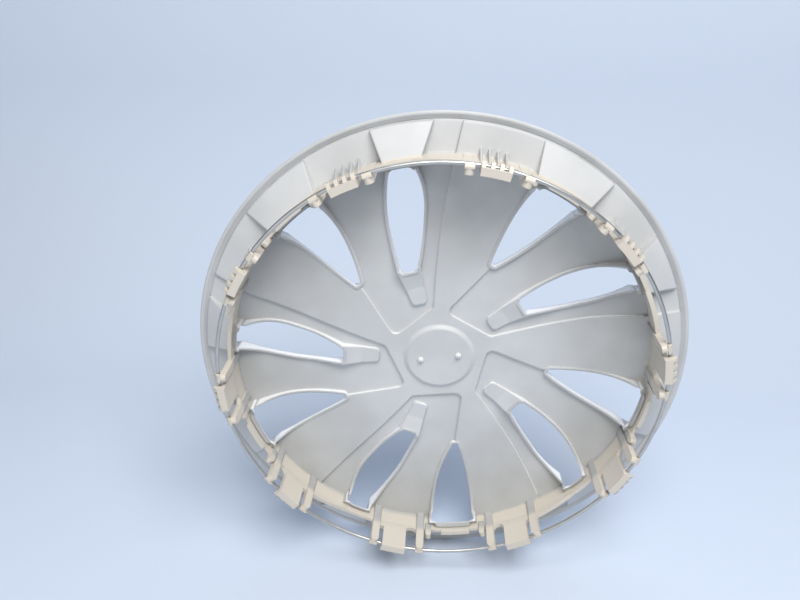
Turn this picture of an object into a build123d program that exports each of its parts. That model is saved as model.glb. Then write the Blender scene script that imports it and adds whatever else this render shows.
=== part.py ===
from build123d import *
from math import cos, radians, sin
import os

# Wheel cover with its clips at the back: a moulded disc with ten windows and ten clip clusters, and a
# round spring wire that lies behind the clip hooks. Millimetres. The model is drawn with the wheel
# axis along Z and the show side up, then turned so that the show side is +Y and the clips face -Y.

# Overall
sectors = 5
pitch = 360 / sectors
outer_radius = 206.0
wall = 2.6

# Lip at the outer edge: a bead that rests on the wheel rim, with a sloping groove inside it
bead_width = 2.4
groove_width = 4.4
groove_depth = 2.4
lip_height = 4.6

# Dished face: heights of its back surface along the axis, the bead's back being zero
boss_radius = 27.3
boss_side = 3.4
boss_level = -1.5
hub_margin = 9.3
hub_level = 1.0
crown_level = 2.8
shoulder_level = 1.2
valley_level = -6.5
band_level = -1.6

# Skirt that carries the clips
skirt_inset = 32.6
skirt_wall = 3.0
skirt_edge = -22.0

# Raised panels, one round each slot window
panel_step = 2.5
panel_line = -105.4
panel_turn = 20.2
panel_round = 6.0

# Windows: tapered ones and slots by turns, each with a rim on the back
tip_line = -132.2
tip_start = 93.2
slot_start = 82.2
window_gap = 3.0
rim_width = 2.2
rim_end_level = -18.0
ramp_length = 31.0
ramp_level = -3.4
ramp_round = 3.5

# Clip clusters, angles counted from the tapered window beside them
cluster_start = 9.6
post_angle = 2.3
notch_angle = 3.1
tongue_angle = 7.0
slot_angle = 1.3
ear_angle = 1.7
ear_gap = 0.5
cluster_root = -27.0
post_tip = -47.5
ear_tip = -31.0
tongue_tip = -50.0
end_tongue_tip = -25.0
end_tongue_half = 4.3
strip_end = 37.4
strip_tip = -27.0
finger_proud = 0.4
post_extra = 1.4
post_hook_reach = 3.0
hook_reach = 6.2
hook_height = 5.6
hook_ribs = 4
hook_open_share = 0.45
gusset_thick = 1.5
gusset_reach = 6.0
gusset_tip = -33.0

# Two pips on the hub
pip_radius = 2.6
pip_circle = 16.0
pip_line = 171.0

# Spring wire
wire_diameter = 3.2
wire_clearance = 0.3

# Places worked out from the sizes above
band_outer = outer_radius - bead_width - groove_width
skirt_radius = outer_radius - skirt_inset
skirt_outer = skirt_radius + skirt_wall
window_outer = skirt_radius - window_gap
hub_start = boss_radius + boss_side + 3.0
hub_flat = boss_radius + boss_side + hub_margin
crown_radius = (hub_flat + skirt_radius) / 2
shoulder_radius = (crown_radius + skirt_radius) / 2
finger_inner = skirt_radius - finger_proud
finger_outer = skirt_outer + finger_proud
post_inner = finger_inner - post_extra
wire_seat = wire_diameter / 2 + wire_clearance
wire_ring = finger_outer + wire_seat
wire_level = tongue_tip + hook_height + wire_seat
sector_start = panel_line + panel_turn - pitch
deep = outer_radius / 2
sink = 0.6


def polar(radius, angle):
    return (radius * cos(radians(angle)), radius * sin(radians(angle)))


def turned(edges):
    """One sector turned about the axis from edges drawn as radius and height."""
    face = Plane.XZ * make_face(edges)
    return Rot(0, 0, sector_start) * revolve(face, axis=Axis.Z, revolution_arc=pitch)


def ring(edges):
    """Full turn about the axis from edges drawn as radius and height."""
    return revolve(Plane.XZ * make_face(edges), axis=Axis.Z)


def back_edges(shift):
    """Back surface of the dish from the hub to the lip, moved along the axis by shift."""
    return [
        Line((hub_start, hub_level + shift), (hub_flat, hub_level + shift)),
        Spline(
            (hub_flat, hub_level + shift),
            (crown_radius, crown_level + shift),
            (shoulder_radius, shoulder_level + shift),
            (skirt_radius, valley_level + shift),
            tangents=[(1, 0), (1, -0.22)],
        ),
        Line((skirt_radius, valley_level + shift), (band_outer, band_level + shift)),
    ]


def dish(low, high):
    """Layer of the dish between two shifts of its back surface."""
    ends = [
        Line((hub_start, hub_level + low), (hub_start, hub_level + high)),
        Line((band_outer, band_level + low), (band_outer, band_level + high)),
    ]
    return turned(back_edges(low) + back_edges(high) + ends)


def behind_dish(shift):
    """Everything behind a shift of the back surface."""
    ends = [
        Line((hub_start, hub_level + shift), (hub_start, -deep)),
        Line((hub_start, -deep), (band_outer, -deep)),
        Line((band_outer, -deep), (band_outer, band_level + shift)),
    ]
    return turned(back_edges(shift) + ends)


def in_front_of(points, shift=0.0):
    """Everything in front of a line of radius and height, moved along the axis by shift."""
    line = [(r, z + shift) for r, z in points]
    first, last = line[0], line[-1]
    edges = [
        Spline(*line) if len(line) > 2 else Line(first, last),
        Line(last, (last[0], deep)),
        Line((last[0], deep), (first[0], deep)),
        Line((first[0], deep), first),
    ]
    return turned(edges)


def prism(sketch):
    return extrude(sketch, amount=deep, both=True)


def around(sketch, line):
    """A plan sketch on the given line, with its two neighbours."""
    return Sketch() + [Rot(0, 0, line + pitch * k) * sketch for k in (-1, 0, 1)]


def rounded(outline, grow, inner_round, outer_round):
    """Window outline grown by an even width, its corners rounded."""
    face = offset(outline, grow, kind=Kind.INTERSECTION) if grow else outline
    face = fillet(face.vertices().sort_by(Axis.X)[-2:], outer_round + grow)
    return fillet(face.vertices().sort_by(Axis.X)[:2], inner_round + grow)


def tip_window(grow=0.0):
    """Tapered window, its blunt tip towards the hub, drawn along +X."""
    outer = [polar(window_outer, -5.6), polar(window_outer, 0.6), polar(window_outer, 6.9)]
    middle = (tip_start + window_outer) / 2 + 2
    edges = [
        ThreePointArc((tip_start, -9.0), (middle, -15.0), outer[0]),
        ThreePointArc(*outer),
        ThreePointArc(outer[2], (middle, 13.3), (tip_start, -4.6)),
        Line((tip_start, -4.6), (tip_start, -9.0)),
    ]
    return rounded(Sketch() + make_face(edges), grow, 1.6, 5.5)


def slot_window(grow=0.0):
    """Slanted slot window, drawn along +X."""
    outer = [polar(window_outer, 1.5), polar(window_outer, 4.3), polar(window_outer, 7.3)]
    length = window_outer - slot_start
    quarter, half, late = [slot_start + length * share for share in (0.24, 0.475, 0.75)]
    edges = [
        ThreePointArc((slot_start, -11.8), (quarter, -11.7), (half, -10.3)),
        ThreePointArc((half, -10.3), (late, -4.8), outer[0]),
        ThreePointArc(*outer),
        ThreePointArc(outer[2], (late, 23.3), (half, 18.4)),
        ThreePointArc((half, 18.4), (quarter, 11.5), (slot_start, 2.0)),
        Line((slot_start, 2.0), (slot_start, -11.8)),
    ]
    return rounded(Sketch() + make_face(edges), grow, 3.0, 5.0)


def panel_plan(grow=0.0):
    """Outline of one raised panel grown by an even width, drawn with its slot window along +X."""
    hub_left = polar(hub_flat + 2, -50.5)
    hub_right = polar(hub_flat + 7, 8.5)
    crease_end = polar(band_outer, 19.0)
    tip_end = polar(band_outer, tip_line - panel_line)
    tip_side = polar(tip_start - 5, tip_line - panel_line - 4.7)
    edges = [
        Line(hub_left, hub_right),
        ThreePointArc(hub_right, polar((hub_flat + band_outer) / 2 - 19, 13.8), crease_end),
        ThreePointArc(crease_end, polar(band_outer, -4.0), tip_end),
        Line(tip_end, tip_side),
        Line(tip_side, hub_left),
    ]
    face = Sketch() + make_face(edges)
    face = offset(face, grow, kind=Kind.INTERSECTION) if grow else face
    return fillet(face.vertices().sort_by_distance((0, 0, 0))[:2], panel_round + grow)


def facet_plan(inner, start, end, flare_start, flare_end):
    """Facet of the outer band beyond a window, widening towards the lip."""
    middle = (start + end) / 2
    edges = [
        Line(polar(inner, start), polar(band_outer, start - flare_start)),
        ThreePointArc(
            polar(band_outer, start - flare_start),
            polar(band_outer, middle),
            polar(band_outer, end + flare_end),
        ),
        Line(polar(band_outer, end + flare_end), polar(inner, end)),
        Line(polar(inner, end), polar(inner, start)),
    ]
    return Sketch() + make_face(edges)


def ramp_plan(inner, outer, trim):
    """Ramp from the panel down to the inner end of a slot window, narrower by trim on each side."""
    corners = [(inner, 3 - trim), (outer, 5 - trim), (outer, -14 + trim), (inner, -9.5 + trim)]
    face = Sketch() + make_face(Polyline(*corners, close=True))
    return fillet(face.vertices().sort_by(Axis.X)[:2], ramp_round)


def plan_sector(inner, outer, start, end):
    """Plan of a piece of a ring between two angles."""
    low, high = sorted((start, end))
    middle = (low + high) / 2
    edges = [
        ThreePointArc(polar(inner, low), polar(inner, middle), polar(inner, high)),
        Line(polar(inner, high), polar(outer, high)),
        ThreePointArc(polar(outer, high), polar(outer, middle), polar(outer, low)),
        Line(polar(outer, low), polar(inner, low)),
    ]
    return Sketch() + make_face(edges)


def block(inner, outer, start, end, low, high):
    """Piece of a ring between two radii, two angles and two heights."""
    plan = Pos(0, 0, low) * plan_sector(inner, outer, start, end)
    return extrude(plan, amount=high - low, dir=(0, 0, 1))


def blade(points, angle, thick):
    """Thin radial plate with an outline of radius and height, centred on an angle."""
    face = Plane.XZ * make_face(Polyline(*points, close=True))
    return Rot(0, 0, angle) * extrude(face, amount=thick / 2, both=True)


def rounded_bar(start, end, tip, top):
    """Upright bar on the skirt between two angles, its free end rounded."""
    half = skirt_radius * radians(abs(end - start)) / 2
    depth = finger_outer - post_inner
    bar = block(post_inner, finger_outer, start, end, tip + half, top)
    nose = Pos(post_inner + depth / 2, 0, tip + half) * Rot(0, 90, 0) * Cylinder(half * 0.98, depth * 0.96)
    return bar + Rot(0, 0, (start + end) / 2) * nose


def hook(start, end, tip, reach, height):
    """Catch on the outer side of a finger, with a sloping lead-in at its free end."""
    low, high = sorted((start, end))
    edge = finger_outer + reach
    face = Polyline(
        (finger_outer - sink, tip),
        (finger_outer + reach * 0.35, tip),
        (edge, tip + height * 0.6),
        (edge, tip + height),
        (finger_outer - sink, tip + height),
        close=True,
    )
    turn = revolve(Plane.XZ * make_face(face), axis=Axis.Z, revolution_arc=high - low)
    return Rot(0, 0, low) * turn


def cluster(side, lift):
    """Clips on one side of a tapered window on +X, under a face that is raised by lift."""
    near = cluster_start
    notch = near + post_angle
    tongue = notch + notch_angle
    slot = tongue + tongue_angle
    far = slot + slot_angle
    end = far + post_angle
    top = valley_level + lift + wall / 2
    clips = block(finger_inner, finger_outer, side * near, side * end, cluster_root, skirt_edge + 1)
    arch_radius = skirt_radius * radians(notch_angle) / 2
    arch = Pos(skirt_radius, 0, cluster_root) * Rot(0, 90, 0) * Cylinder(arch_radius, 4 * skirt_wall)
    clips -= Rot(0, 0, side * (notch + tongue) / 2) * arch
    for start, stop in ((near, notch), (far, end)):
        clips += rounded_bar(side * start, side * stop, post_tip, top)
        seat = wire_level - wire_seat
        clips += hook(side * start, side * stop, post_tip, post_hook_reach, seat - post_tip)
    ear_end = near - ear_gap
    clips += rounded_bar(side * (ear_end - ear_angle), side * ear_end, ear_tip, skirt_edge + 6)
    clips += block(finger_inner, finger_outer, side * tongue, side * slot, tongue_tip, cluster_root + 1)
    rib = tongue_angle * (1 - hook_open_share) / hook_ribs
    step = (tongue_angle - rib) / (hook_ribs - 1)
    root = skirt_outer - sink
    gusset = [(root, gusset_tip), (root, top), (skirt_outer + gusset_reach, top + 1)]
    for i in range(hook_ribs):
        start = tongue + i * step
        clips += hook(side * start, side * (start + rib), tongue_tip, hook_reach, hook_height)
        clips += blade(gusset, side * (start + rib / 2), gusset_thick)
    bar = finger_outer + hook_reach * 0.4
    clips += block(finger_outer - sink, bar, side * tongue, side * slot, tongue_tip, tongue_tip + 2)
    return clips


def strip(start, end, low):
    """Extra height of the skirt beside a post, sloping up from low at its start to the skirt's edge."""
    middle = (start + end) / 2
    reach = skirt_outer * radians(start - middle)
    face = Polyline((reach, low), (-reach, skirt_edge), (-reach, skirt_edge + 1), (reach, skirt_edge + 1), close=True)
    slope = extrude(Plane.YZ * make_face(face), amount=outer_radius)
    return block(finger_inner, finger_outer, start, end, low, skirt_edge + 1) & (Rot(0, 0, middle) * slope)


# Plan outlines
tip_holes = around(tip_window(), tip_line)
slot_holes = around(slot_window(), panel_line)
tip_rims = around(tip_window(rim_width), tip_line)
slot_rims = around(slot_window(rim_width), panel_line)
facet_inner = window_outer - 2
facets = around(facet_plan(facet_inner, -6.6, 7.9, 1.8, 1.9), tip_line)
facets += around(facet_plan(facet_inner, 0.6, 8.6, 1.6, 4.2), panel_line)
dip_inner = window_outer - 6
dips = around(facet_plan(dip_inner, -5.8, 7.1, 1.8, 1.9), tip_line)
dips += around(facet_plan(dip_inner, 1.4, 7.8, 1.6, 4.2), panel_line)
ramp_start = slot_start - ramp_length
ramp_end = slot_start + 2
ramps = around(ramp_plan(ramp_start, ramp_end, 0), panel_line)
ramp_dips = around(ramp_plan(ramp_start + 6, ramp_end + 8, 1.8), panel_line)
panels = around(panel_plan(), panel_line)
panel_tops = around(panel_plan(wall), panel_line)
skirt_plan = Sketch() + (Circle(skirt_outer) - Circle(skirt_radius))
pockets = panels - (tip_rims + slot_rims + facets + ramps + skirt_plan)
groove_side = Sketch() + (Circle(band_outer + 0.5) - Circle(band_outer - 2))
lip_gaps = groove_side & (Rot(0, 0, panel_line) * panel_plan(0.5) - facets)

# Heights of the rims, facets and ramps on the back
tip_length = window_outer - tip_start
tip_rim_edge = [
    (tip_start - 9, 1.5),
    (tip_start + tip_length * 0.25, 2.1),
    (tip_start + tip_length * 0.58, 0.9),
    (skirt_radius, rim_end_level - wall),
]
slot_length = window_outer - slot_start
slot_rim_edge = [
    (slot_start - 8, ramp_level + 0.4),
    (slot_start + slot_length * 0.23, 2.2),
    (slot_start + slot_length * 0.55, 3.4),
    (skirt_radius, rim_end_level),
]
facet_edge = [(dip_inner, rim_end_level - wall), (band_outer + 0.5, band_level - 0.6)]
ramp_edge = [(ramp_start, hub_level + panel_step + 1), (ramp_end + 8, ramp_level)]

# One sector of the dish: raised panel, then the pocket behind it
face = dish(0, wall)
face += dish(wall / 2, panel_step + wall) & prism(panel_tops)
face -= behind_dish(panel_step) & prism(pockets)

# Window rims, band facets, ramps and skirt on its back
backing = behind_dish(wall / 2)
face += backing & prism(tip_rims) & in_front_of(tip_rim_edge)
face += backing & prism(slot_rims) & in_front_of(slot_rim_edge)
face += backing & prism(facets) & in_front_of(facet_edge)
face += backing & prism(ramps) & in_front_of(ramp_edge)
face += backing & extrude(Pos(0, 0, skirt_edge) * skirt_plan, amount=deep, dir=(0, 0, 1))

# Dips on its show side, and the windows
face -= prism(dips) & in_front_of(facet_edge, wall)
face -= prism(ramp_dips) & in_front_of(ramp_edge, wall)
face -= prism(tip_holes + slot_holes)

# Hub with its round boss and two pips
hub_edges = Polyline(
    (0, boss_level),
    (boss_radius, boss_level),
    (boss_radius + boss_side, hub_level),
    (hub_start, hub_level),
    (hub_start, hub_level + wall),
    (boss_radius + boss_side, hub_level + wall),
    (boss_radius, boss_level + wall),
    (0, boss_level + wall),
    close=True,
)
hub = ring(hub_edges)
for turn in (0, 180):
    hub += Pos(*polar(pip_circle, pip_line + turn), boss_level - 0.4) * Sphere(pip_radius)

# Lip with its bead and groove
lip_edges = Polyline(
    (band_outer - 1.2, band_level + wall / 2),
    (band_outer, band_level),
    (band_outer + 0.8, groove_depth),
    (outer_radius - bead_width - 0.6, 0.4),
    (outer_radius - bead_width, 0),
    (outer_radius - 0.6, 0),
    (outer_radius, 0.7),
    (outer_radius, lip_height - 2.4),
    (outer_radius - 1.6, lip_height - 0.8),
    (outer_radius - 3.6, lip_height),
    (band_outer + 1.6, lip_height),
    (band_outer, lip_height - 1.2),
    (band_outer - 1.2, band_level + wall),
    close=True,
)
lip = ring(lip_edges)
for k in range(sectors):
    gap = extrude(Pos(0, 0, band_level + panel_step) * lip_gaps, amount=-wall)
    lip -= Rot(0, 0, pitch * k) * gap

# Clips beside one tapered window, and the short tongue at its outer end
clips = cluster(1, panel_step) + cluster(-1, 0)
far_post = cluster_start + 2 * post_angle + notch_angle + tongue_angle + slot_angle
clips += strip(1 - far_post, -strip_end, strip_tip)
clips += block(finger_inner, finger_outer, -end_tongue_half, end_tongue_half, end_tongue_tip, skirt_edge + 1)

# The whole moulding
cover = face.fuse(*[Rot(0, 0, pitch * k) * face for k in range(1, sectors)])
cover = cover.fuse(hub, lip)
cover = cover.fuse(*[Rot(0, 0, tip_line + pitch * k) * clips for k in range(sectors)])

# The spring wire
wire = Pos(0, 0, wire_level) * Torus(wire_ring, wire_diameter / 2)

# Show side to +Y
upright = Rot(-90, 0, 0)
os.makedirs("parts", exist_ok=True)
export_step(upright * cover, "parts/cover_moulding.step")
export_step(upright * wire, "parts/retaining_wire.step")
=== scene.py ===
# %% [markdown]
# # A moulded wheel cover, seen from its clip side
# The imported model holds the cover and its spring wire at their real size, in metres. The wheel axis lies
# along Y, with the show side to +Y and the clips to -Y, and Z is up. This lesson gives the two pieces
# the surfaces that the eye expects of moulded plastic and drawn wire, and then sets up the stage, the
# light and the camera.

import bpy
import numpy as np
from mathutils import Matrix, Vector


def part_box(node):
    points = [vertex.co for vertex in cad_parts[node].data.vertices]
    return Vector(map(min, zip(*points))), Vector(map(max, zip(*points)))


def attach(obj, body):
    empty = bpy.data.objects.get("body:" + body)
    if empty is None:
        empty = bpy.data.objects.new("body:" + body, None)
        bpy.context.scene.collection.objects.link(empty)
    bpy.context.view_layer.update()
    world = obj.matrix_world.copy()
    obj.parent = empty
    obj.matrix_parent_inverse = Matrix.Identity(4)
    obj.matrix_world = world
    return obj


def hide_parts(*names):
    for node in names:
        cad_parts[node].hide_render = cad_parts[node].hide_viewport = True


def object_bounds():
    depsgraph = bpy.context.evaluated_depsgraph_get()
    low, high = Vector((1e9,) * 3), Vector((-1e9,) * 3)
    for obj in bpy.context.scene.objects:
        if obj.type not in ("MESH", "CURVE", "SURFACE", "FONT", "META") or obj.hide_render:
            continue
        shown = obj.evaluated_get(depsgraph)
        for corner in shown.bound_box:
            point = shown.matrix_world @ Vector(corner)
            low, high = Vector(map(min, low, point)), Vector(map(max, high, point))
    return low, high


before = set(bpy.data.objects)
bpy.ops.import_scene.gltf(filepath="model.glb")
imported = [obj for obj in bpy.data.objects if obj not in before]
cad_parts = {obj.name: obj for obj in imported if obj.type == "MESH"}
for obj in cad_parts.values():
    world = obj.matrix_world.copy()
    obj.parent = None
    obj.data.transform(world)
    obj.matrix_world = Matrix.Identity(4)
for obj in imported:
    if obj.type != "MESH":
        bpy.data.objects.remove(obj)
cad_low, cad_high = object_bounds()
mm = 0.001
print("CAD box in mm", [round(v / mm, 1) for v in (*cad_low, *cad_high)])

# %% [markdown]
# Colours are picked as sRGB hex values, the way a designer notes them, but shaders work in linear light.
# One small function does the change. The others add shader nodes, so that each material below reads as a
# list of what it is made of.

# %% Colour and node helpers
def linear(hex_colour):
    """sRGB hex to linear RGBA: c / 12.92 below 0.04045, else ((c + 0.055) / 1.055) to the power 2.4."""
    c = np.array([int(hex_colour[i:i + 2], 16) for i in (1, 3, 5)]) / 255
    return (*np.where(c <= 0.04045, c / 12.92, ((c + 0.055) / 1.055) ** 2.4), 1.0)


def new_material(name):
    """A node material and its Principled shader."""
    material = bpy.data.materials.new(name)
    material.use_nodes = True
    return material, material.node_tree.nodes["Principled BSDF"]


def add_node(material, kind, inputs=(), **settings):
    """Adds a shader node, sets its properties, and fills each input with a value or a link."""
    tree = material.node_tree
    node = tree.nodes.new(kind)
    for name, value in settings.items():
        setattr(node, name, value)
    for name, value in dict(inputs).items():
        if isinstance(value, bpy.types.NodeSocket):
            tree.links.new(value, node.inputs[name])
        else:
            node.inputs[name].default_value = value
    return node


def calculate(material, operation, *values):
    """The result of one Math node."""
    return add_node(material, "ShaderNodeMath", enumerate(values), operation=operation).outputs[0]


def soft_step(material, value, start, end):
    """A value that goes from 0 at start to 1 at end, eased at both ends."""
    limits = {"Value": value, "From Min": start, "From Max": end}
    return add_node(material, "ShaderNodeMapRange", limits, interpolation_type="SMOOTHSTEP").outputs[0]


def blend(material, factor, first, second):
    """A colour between two colours."""
    inputs = {"Factor": factor, 6: first, 7: second}
    return add_node(material, "ShaderNodeMix", inputs, data_type="RGBA").outputs[2]


def noise(material, place, size, detail):
    """Random variation in patches of about the given size in metres."""
    inputs = {"Vector": place, "Scale": 1 / size, "Detail": detail}
    return add_node(material, "ShaderNodeTexNoise", inputs).outputs["Fac"]


# %% [markdown]
# The cover is one injection moulding in ABS, which comes out of the mould cream white. Its show side is
# then sprayed silver. Paint mist drifts through the windows and greys the back of the face, while the skirt
# and the clips behind it keep the warm colour of the bare plastic. Such zones are easy to tell from two
# lengths, the distance from the wheel axis and the place along it, so no image is needed.

# %% Zones of the moulding, each from 0 to 1
skirt_middle = 175 * mm
skirt_half = 1.8 * mm
skirt_corner = 172 * mm
window_end = 170 * mm
fade = 1 * mm
mist_patch = 22 * mm
mist_drift = 5 * mm
skirt_bare = (-1 * mm, -7 * mm)
clips_bare = (-18 * mm, -25 * mm)
clips_end = (-22 * mm, -16 * mm)
# Painted shade in the corner under the skirt: where it starts, its patch size and its strength
corner_shade_start = 60 * mm
corner_shade_patch = 35 * mm
corner_shade_even = 0.42
corner_shade_cloudy = 0.25


def bare_zone(material, place, radius, along):
    """Bare plastic: the skirt, and all that lies well behind the face, with a cloudy edge."""
    drift = calculate(material, "MULTIPLY_ADD", noise(material, place, mist_patch, 3.0), mist_drift, along)
    from_skirt = calculate(material, "ABSOLUTE", calculate(material, "SUBTRACT", radius, skirt_middle))
    on_skirt = calculate(
        material,
        "MULTIPLY",
        soft_step(material, from_skirt, skirt_half + fade, skirt_half),
        soft_step(material, drift, *skirt_bare),
    )
    return calculate(material, "MAXIMUM", on_skirt, soft_step(material, drift, *clips_bare))


def corner_shade_zone(material, place, radius):
    """Painted shade: darkest in the corner under the skirt, fading towards the hub, a little cloudy."""
    corner = calculate(
        material,
        "MULTIPLY",
        soft_step(material, radius, corner_shade_start, skirt_corner),
        soft_step(material, radius, skirt_corner + 4 * fade, skirt_corner + fade),
    )
    cloud = soft_step(material, noise(material, place, corner_shade_patch, 5.0), 0.25, 0.75)
    corner_shade_depth = calculate(material, "MULTIPLY_ADD", cloud, corner_shade_cloudy, corner_shade_even)
    return calculate(material, "MULTIPLY", corner_shade_depth, corner)


def wall_highlight_zone(material, facing, radius):
    """Window walls and crease sides, which turn away from the axis direction: a painted highlight on them,
    and on the window walls also paint that came through the windows.
    """
    return calculate(
        material,
        "MULTIPLY",
        soft_step(material, calculate(material, "ABSOLUTE", facing), 0.9, 0.5),
        soft_step(material, radius, window_end + fade, window_end - fade),
    )


def show_zone(material, facing, along):
    """The painted show side: what faces +Y and isn't part of a clip."""
    return calculate(
        material,
        "MULTIPLY",
        soft_step(material, facing, 0.15, 0.45),
        soft_step(material, along, *clips_end),
    )


print("skirt at", round(skirt_middle / mm), "mm, windows end at", round(window_end / mm), "mm from the axis")

# %% [markdown]
# The mould leaves a satin grain, fine enough to be felt more than seen, and no edge of a moulding is knife
# sharp. The broad creases of the face are rounded by about 2 mm and the clips by less than 1 mm, so each
# edge catches a line of light. A Bevel node turns the normals near an edge, which leaves the solid as it is.

# %% Moulded ABS with silver overspray
silver_light = "#C8C9C9"
silver_deep = "#BFC0C0"
silver_paint = "#C4C6C8"
# Light grey of the painted highlight on walls and crease sides, partly paint on the window walls
wall_paint_and_highlight = "#E9E9EA"
# Grey of the painted shade in the corner under the skirt
corner_shade_colour = "#98968F"
bare_cream = "#CEC6B9"
face_round = 2.2 * mm
clip_round = 0.7 * mm
grain_size = 0.7 * mm
grain_depth = 0.05 * mm
satin_least = 0.38
satin_spread = 0.08
paint_smoother = 0.14
abs_ior = 1.53


def moulded_abs():
    """Satin plastic with soft highlights: cream where bare, silver grey where paint or mist lies on it."""
    material, shader = new_material("ABS moulded, silver overspray")
    link = material.node_tree.links.new
    place = add_node(material, "ShaderNodeTexCoord").outputs["Object"]
    along = add_node(material, "ShaderNodeSeparateXYZ", {"Vector": place}).outputs["Y"]
    flat = add_node(material, "ShaderNodeVectorMath", {0: place, 1: (1, 0, 1)}, operation="MULTIPLY")
    length = add_node(material, "ShaderNodeVectorMath", {0: flat.outputs[0]}, operation="LENGTH")
    radius = length.outputs["Value"]

    bare = bare_zone(material, place, radius, along)
    rounding = calculate(material, "MULTIPLY_ADD", bare, clip_round - face_round, face_round)
    edge = add_node(material, "ShaderNodeBevel", {"Radius": rounding}, samples=4).outputs["Normal"]
    facing = add_node(material, "ShaderNodeSeparateXYZ", {"Vector": edge}).outputs["Y"]
    show = show_zone(material, facing, along)

    patches = soft_step(material, noise(material, place, 60 * mm, 4.0), 0.38, 0.66)
    colour = blend(material, patches, linear(silver_deep), linear(silver_light))
    # Painted shade: the face turns darker towards the corner under the skirt
    colour = blend(material, corner_shade_zone(material, place, radius), colour, linear(corner_shade_colour))
    # Painted highlight on the window walls and crease sides, partly real paint on the window walls
    colour = blend(material, wall_highlight_zone(material, facing, radius), colour, linear(wall_paint_and_highlight))
    colour = blend(material, bare, colour, linear(bare_cream))
    colour = blend(material, show, colour, linear(silver_paint))
    link(colour, shader.inputs["Base Color"])

    uneven = noise(material, place, 14 * mm, 3.0)
    satin = calculate(material, "MULTIPLY_ADD", uneven, satin_spread, satin_least)
    link(calculate(material, "MULTIPLY_ADD", show, -paint_smoother, satin), shader.inputs["Roughness"])
    shader.inputs["IOR"].default_value = abs_ior
    height = noise(material, place, grain_size, 2.0)
    relief = {"Height": height, "Normal": edge, "Strength": 0.25, "Distance": grain_depth}
    grain = add_node(material, "ShaderNodeBump", relief)
    link(grain.outputs["Normal"], shader.inputs["Normal"])
    return material


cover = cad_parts["cover_moulding"]
cover.data.materials.clear()
cover.data.materials.append(moulded_abs())
print("cover:", len(cover.data.polygons), "triangles in", cover.data.materials[0].name)

# %% [markdown]
# The wire is drawn spring steel, bent to a ring that the clips hold, and it gives them their spring when
# the cover is pushed into the wheel. A torus is the plainest surface of two parameters: one angle runs
# round the ring and the other round the wire, so whole arrays give every point at once.

# %% The retaining wire's surface
wire_low, wire_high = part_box("retaining_wire")
wire_radius = (wire_high.y - wire_low.y) / 2
ring_radius = (wire_high.x - wire_low.x) / 2 - wire_radius
wire_level = (wire_high.y + wire_low.y) / 2


def torus(ring, tube, level, around, across):
    """Point (u, v): ring + tube cos v from the axis at the angle u, and level + tube sin v along it."""
    turn, roll = [np.linspace(0, 2 * np.pi, count, endpoint=False) for count in (around, across)]
    u, v = np.meshgrid(turn, roll, indexing="ij")
    reach = ring + tube * np.cos(v)
    return np.stack([reach * np.cos(u), level + tube * np.sin(v), reach * np.sin(u)], axis=-1)


def grid_object(points, name, closed):
    """A smooth mesh object over a grid of points, joined to itself both ways if closed."""
    index = np.arange(points.shape[0] * points.shape[1]).reshape(points.shape[:2])
    if closed:
        index = np.pad(index, ((0, 1), (0, 1)), mode="wrap")
    quads = np.stack([index[:-1, :-1], index[:-1, 1:], index[1:, 1:], index[1:, :-1]], axis=-1)
    mesh = bpy.data.meshes.new(name)
    mesh.from_pydata(points.reshape(-1, 3).tolist(), [], quads.reshape(-1, 4).tolist())
    mesh.shade_smooth()
    piece = bpy.data.objects.new(name, mesh)
    bpy.context.scene.collection.objects.link(piece)
    return piece


ring_points = torus(ring_radius, wire_radius, wire_level, around=360, across=16)
wire = grid_object(ring_points, "spring_wire", closed=True)
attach(wire, "root")
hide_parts("retaining_wire")
ring_size, wire_size = 2 * ring_radius / mm, 2 * wire_radius / mm
print(f"wire ring: {ring_size:.1f} mm across, wire {wire_size:.2f} mm thick")

# %% [markdown]
# Drawing pulls the wire through a die, which leaves it bright with soft highlights. A thin uneven film of
# oxide makes its tone vary along the ring.

# %% Drawn spring steel
steel_dull = "#B4B3B0"
steel_bright = "#D2D1CE"
film_patch = 9 * mm


def drawn_steel():
    """Bare metal that mirrors the pale room softly, a little duller where the film is thicker."""
    material, shader = new_material("Spring steel, drawn")
    link = material.node_tree.links.new
    place = add_node(material, "ShaderNodeTexCoord").outputs["Object"]
    film = noise(material, place, film_patch, 4.0)
    link(blend(material, film, linear(steel_dull), linear(steel_bright)), shader.inputs["Base Color"])
    link(calculate(material, "MULTIPLY_ADD", film, 0.2, 0.28), shader.inputs["Roughness"])
    shader.inputs["Metallic"].default_value = 1.0
    return material


wire.data.materials.append(drawn_steel())
print("wire:", len(wire.data.polygons), "quads in", wire.data.materials[0].name)

# %% [markdown]
# The stage is a sweep of matt paper: a floor that curves up into a wall, so that no edge shows behind the
# object. Its pale blue sets off the silver without tinting it much.

# %% Floor and backdrop
def sweep(floor, half_width, front, bend_start, bend_radius, height, steps):
    """A profile of floor, quarter circle and wall, carried straight along X."""
    turn = np.linspace(0, np.pi / 2, steps)
    y = np.concatenate([[front], bend_start + bend_radius * np.sin(turn), [bend_start + bend_radius]])
    z = floor + np.concatenate([[0], bend_radius * (1 - np.cos(turn)), [height]])
    x, y = np.meshgrid([-half_width, half_width], y)
    return np.stack([x, y, np.broadcast_to(z[:, None], x.shape)], axis=-1)


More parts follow.
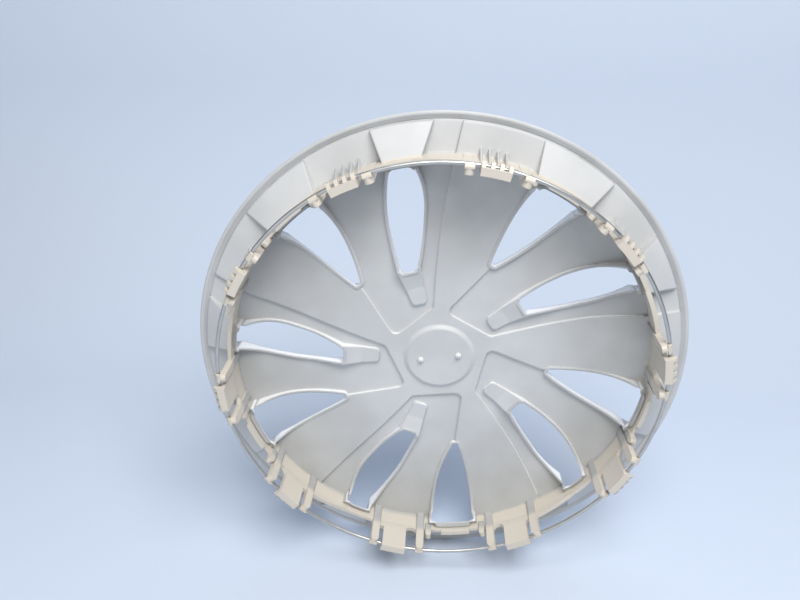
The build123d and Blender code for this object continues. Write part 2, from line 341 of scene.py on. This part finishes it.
paper_sweep = sweep(
    floor=cad_low.z, half_width=4.0, front=-4.0, bend_start=0.25, bend_radius=0.35, height=4.0, steps=24
)
backdrop = grid_object(paper_sweep, "studio_sweep", closed=False)
# Matt paper scatters light evenly, so shadows stay soft and no lamp shows in it
paper, paper_shader = new_material("Paper, matt")
paper_shader.inputs["Base Color"].default_value = linear("#CAD4E3")
paper_shader.inputs["Roughness"].default_value = 0.9
backdrop.data.materials.append(paper)
print("floor at", round(cad_low.z / mm, 1), "mm")

# %% [markdown]
# One large soft lamp hangs above and a little in front. The band's facets at the top face it and turn nearly
# white, while the skirt keeps part of it off the upper spokes. A weak lamp and an even pale room fill in.

# %% Lights
def softbox(name, place, size, power):
    """A rectangular lamp aimed at the middle of the cover."""
    lamp = bpy.data.lights.new(name, "AREA")
    lamp.shape = "RECTANGLE"
    lamp.size, lamp.size_y = size
    lamp.energy = power
    holder = bpy.data.objects.new(name, lamp)
    holder.location = place
    holder.rotation_euler = (-Vector(place)).to_track_quat("-Z", "Y").to_euler()
    bpy.context.scene.collection.objects.link(holder)
    print(name, "lamp:", power, "W from", size, "m")


softbox("key", place=(0.3, -0.8, 1.4), size=(1.2, 0.9), power=32)
softbox("fill", place=(-0.9, -1.5, 0.4), size=(1.2, 1.2), power=5)

world = bpy.data.worlds.new("Pale room")
world.use_nodes = True
room = world.node_tree.nodes["Background"]
room.inputs["Color"].default_value = linear("#F2F4F7")
room.inputs["Strength"].default_value = 0.24
bpy.context.scene.world = world
bpy.context.scene.view_settings.view_transform = "Standard"

# %% [markdown]
# The camera stands about half a metre from the cover and above its axis, as in the photograph. Its place,
# turn and lens come from fitting the outer lip and the ten windows.

# %% Camera
camera = bpy.data.objects.new("camera", bpy.data.cameras.new("camera"))
camera.location = (-5.7 * mm, -508.4 * mm, 295.9 * mm)
camera.rotation_euler = np.radians([64.49, 0, 3.15])
camera.data.lens = 30.85
camera.data.clip_start = 0.01
bpy.context.scene.collection.objects.link(camera)
bpy.context.scene.camera = camera
print("camera at", [round(v / mm) for v in camera.location], "mm")
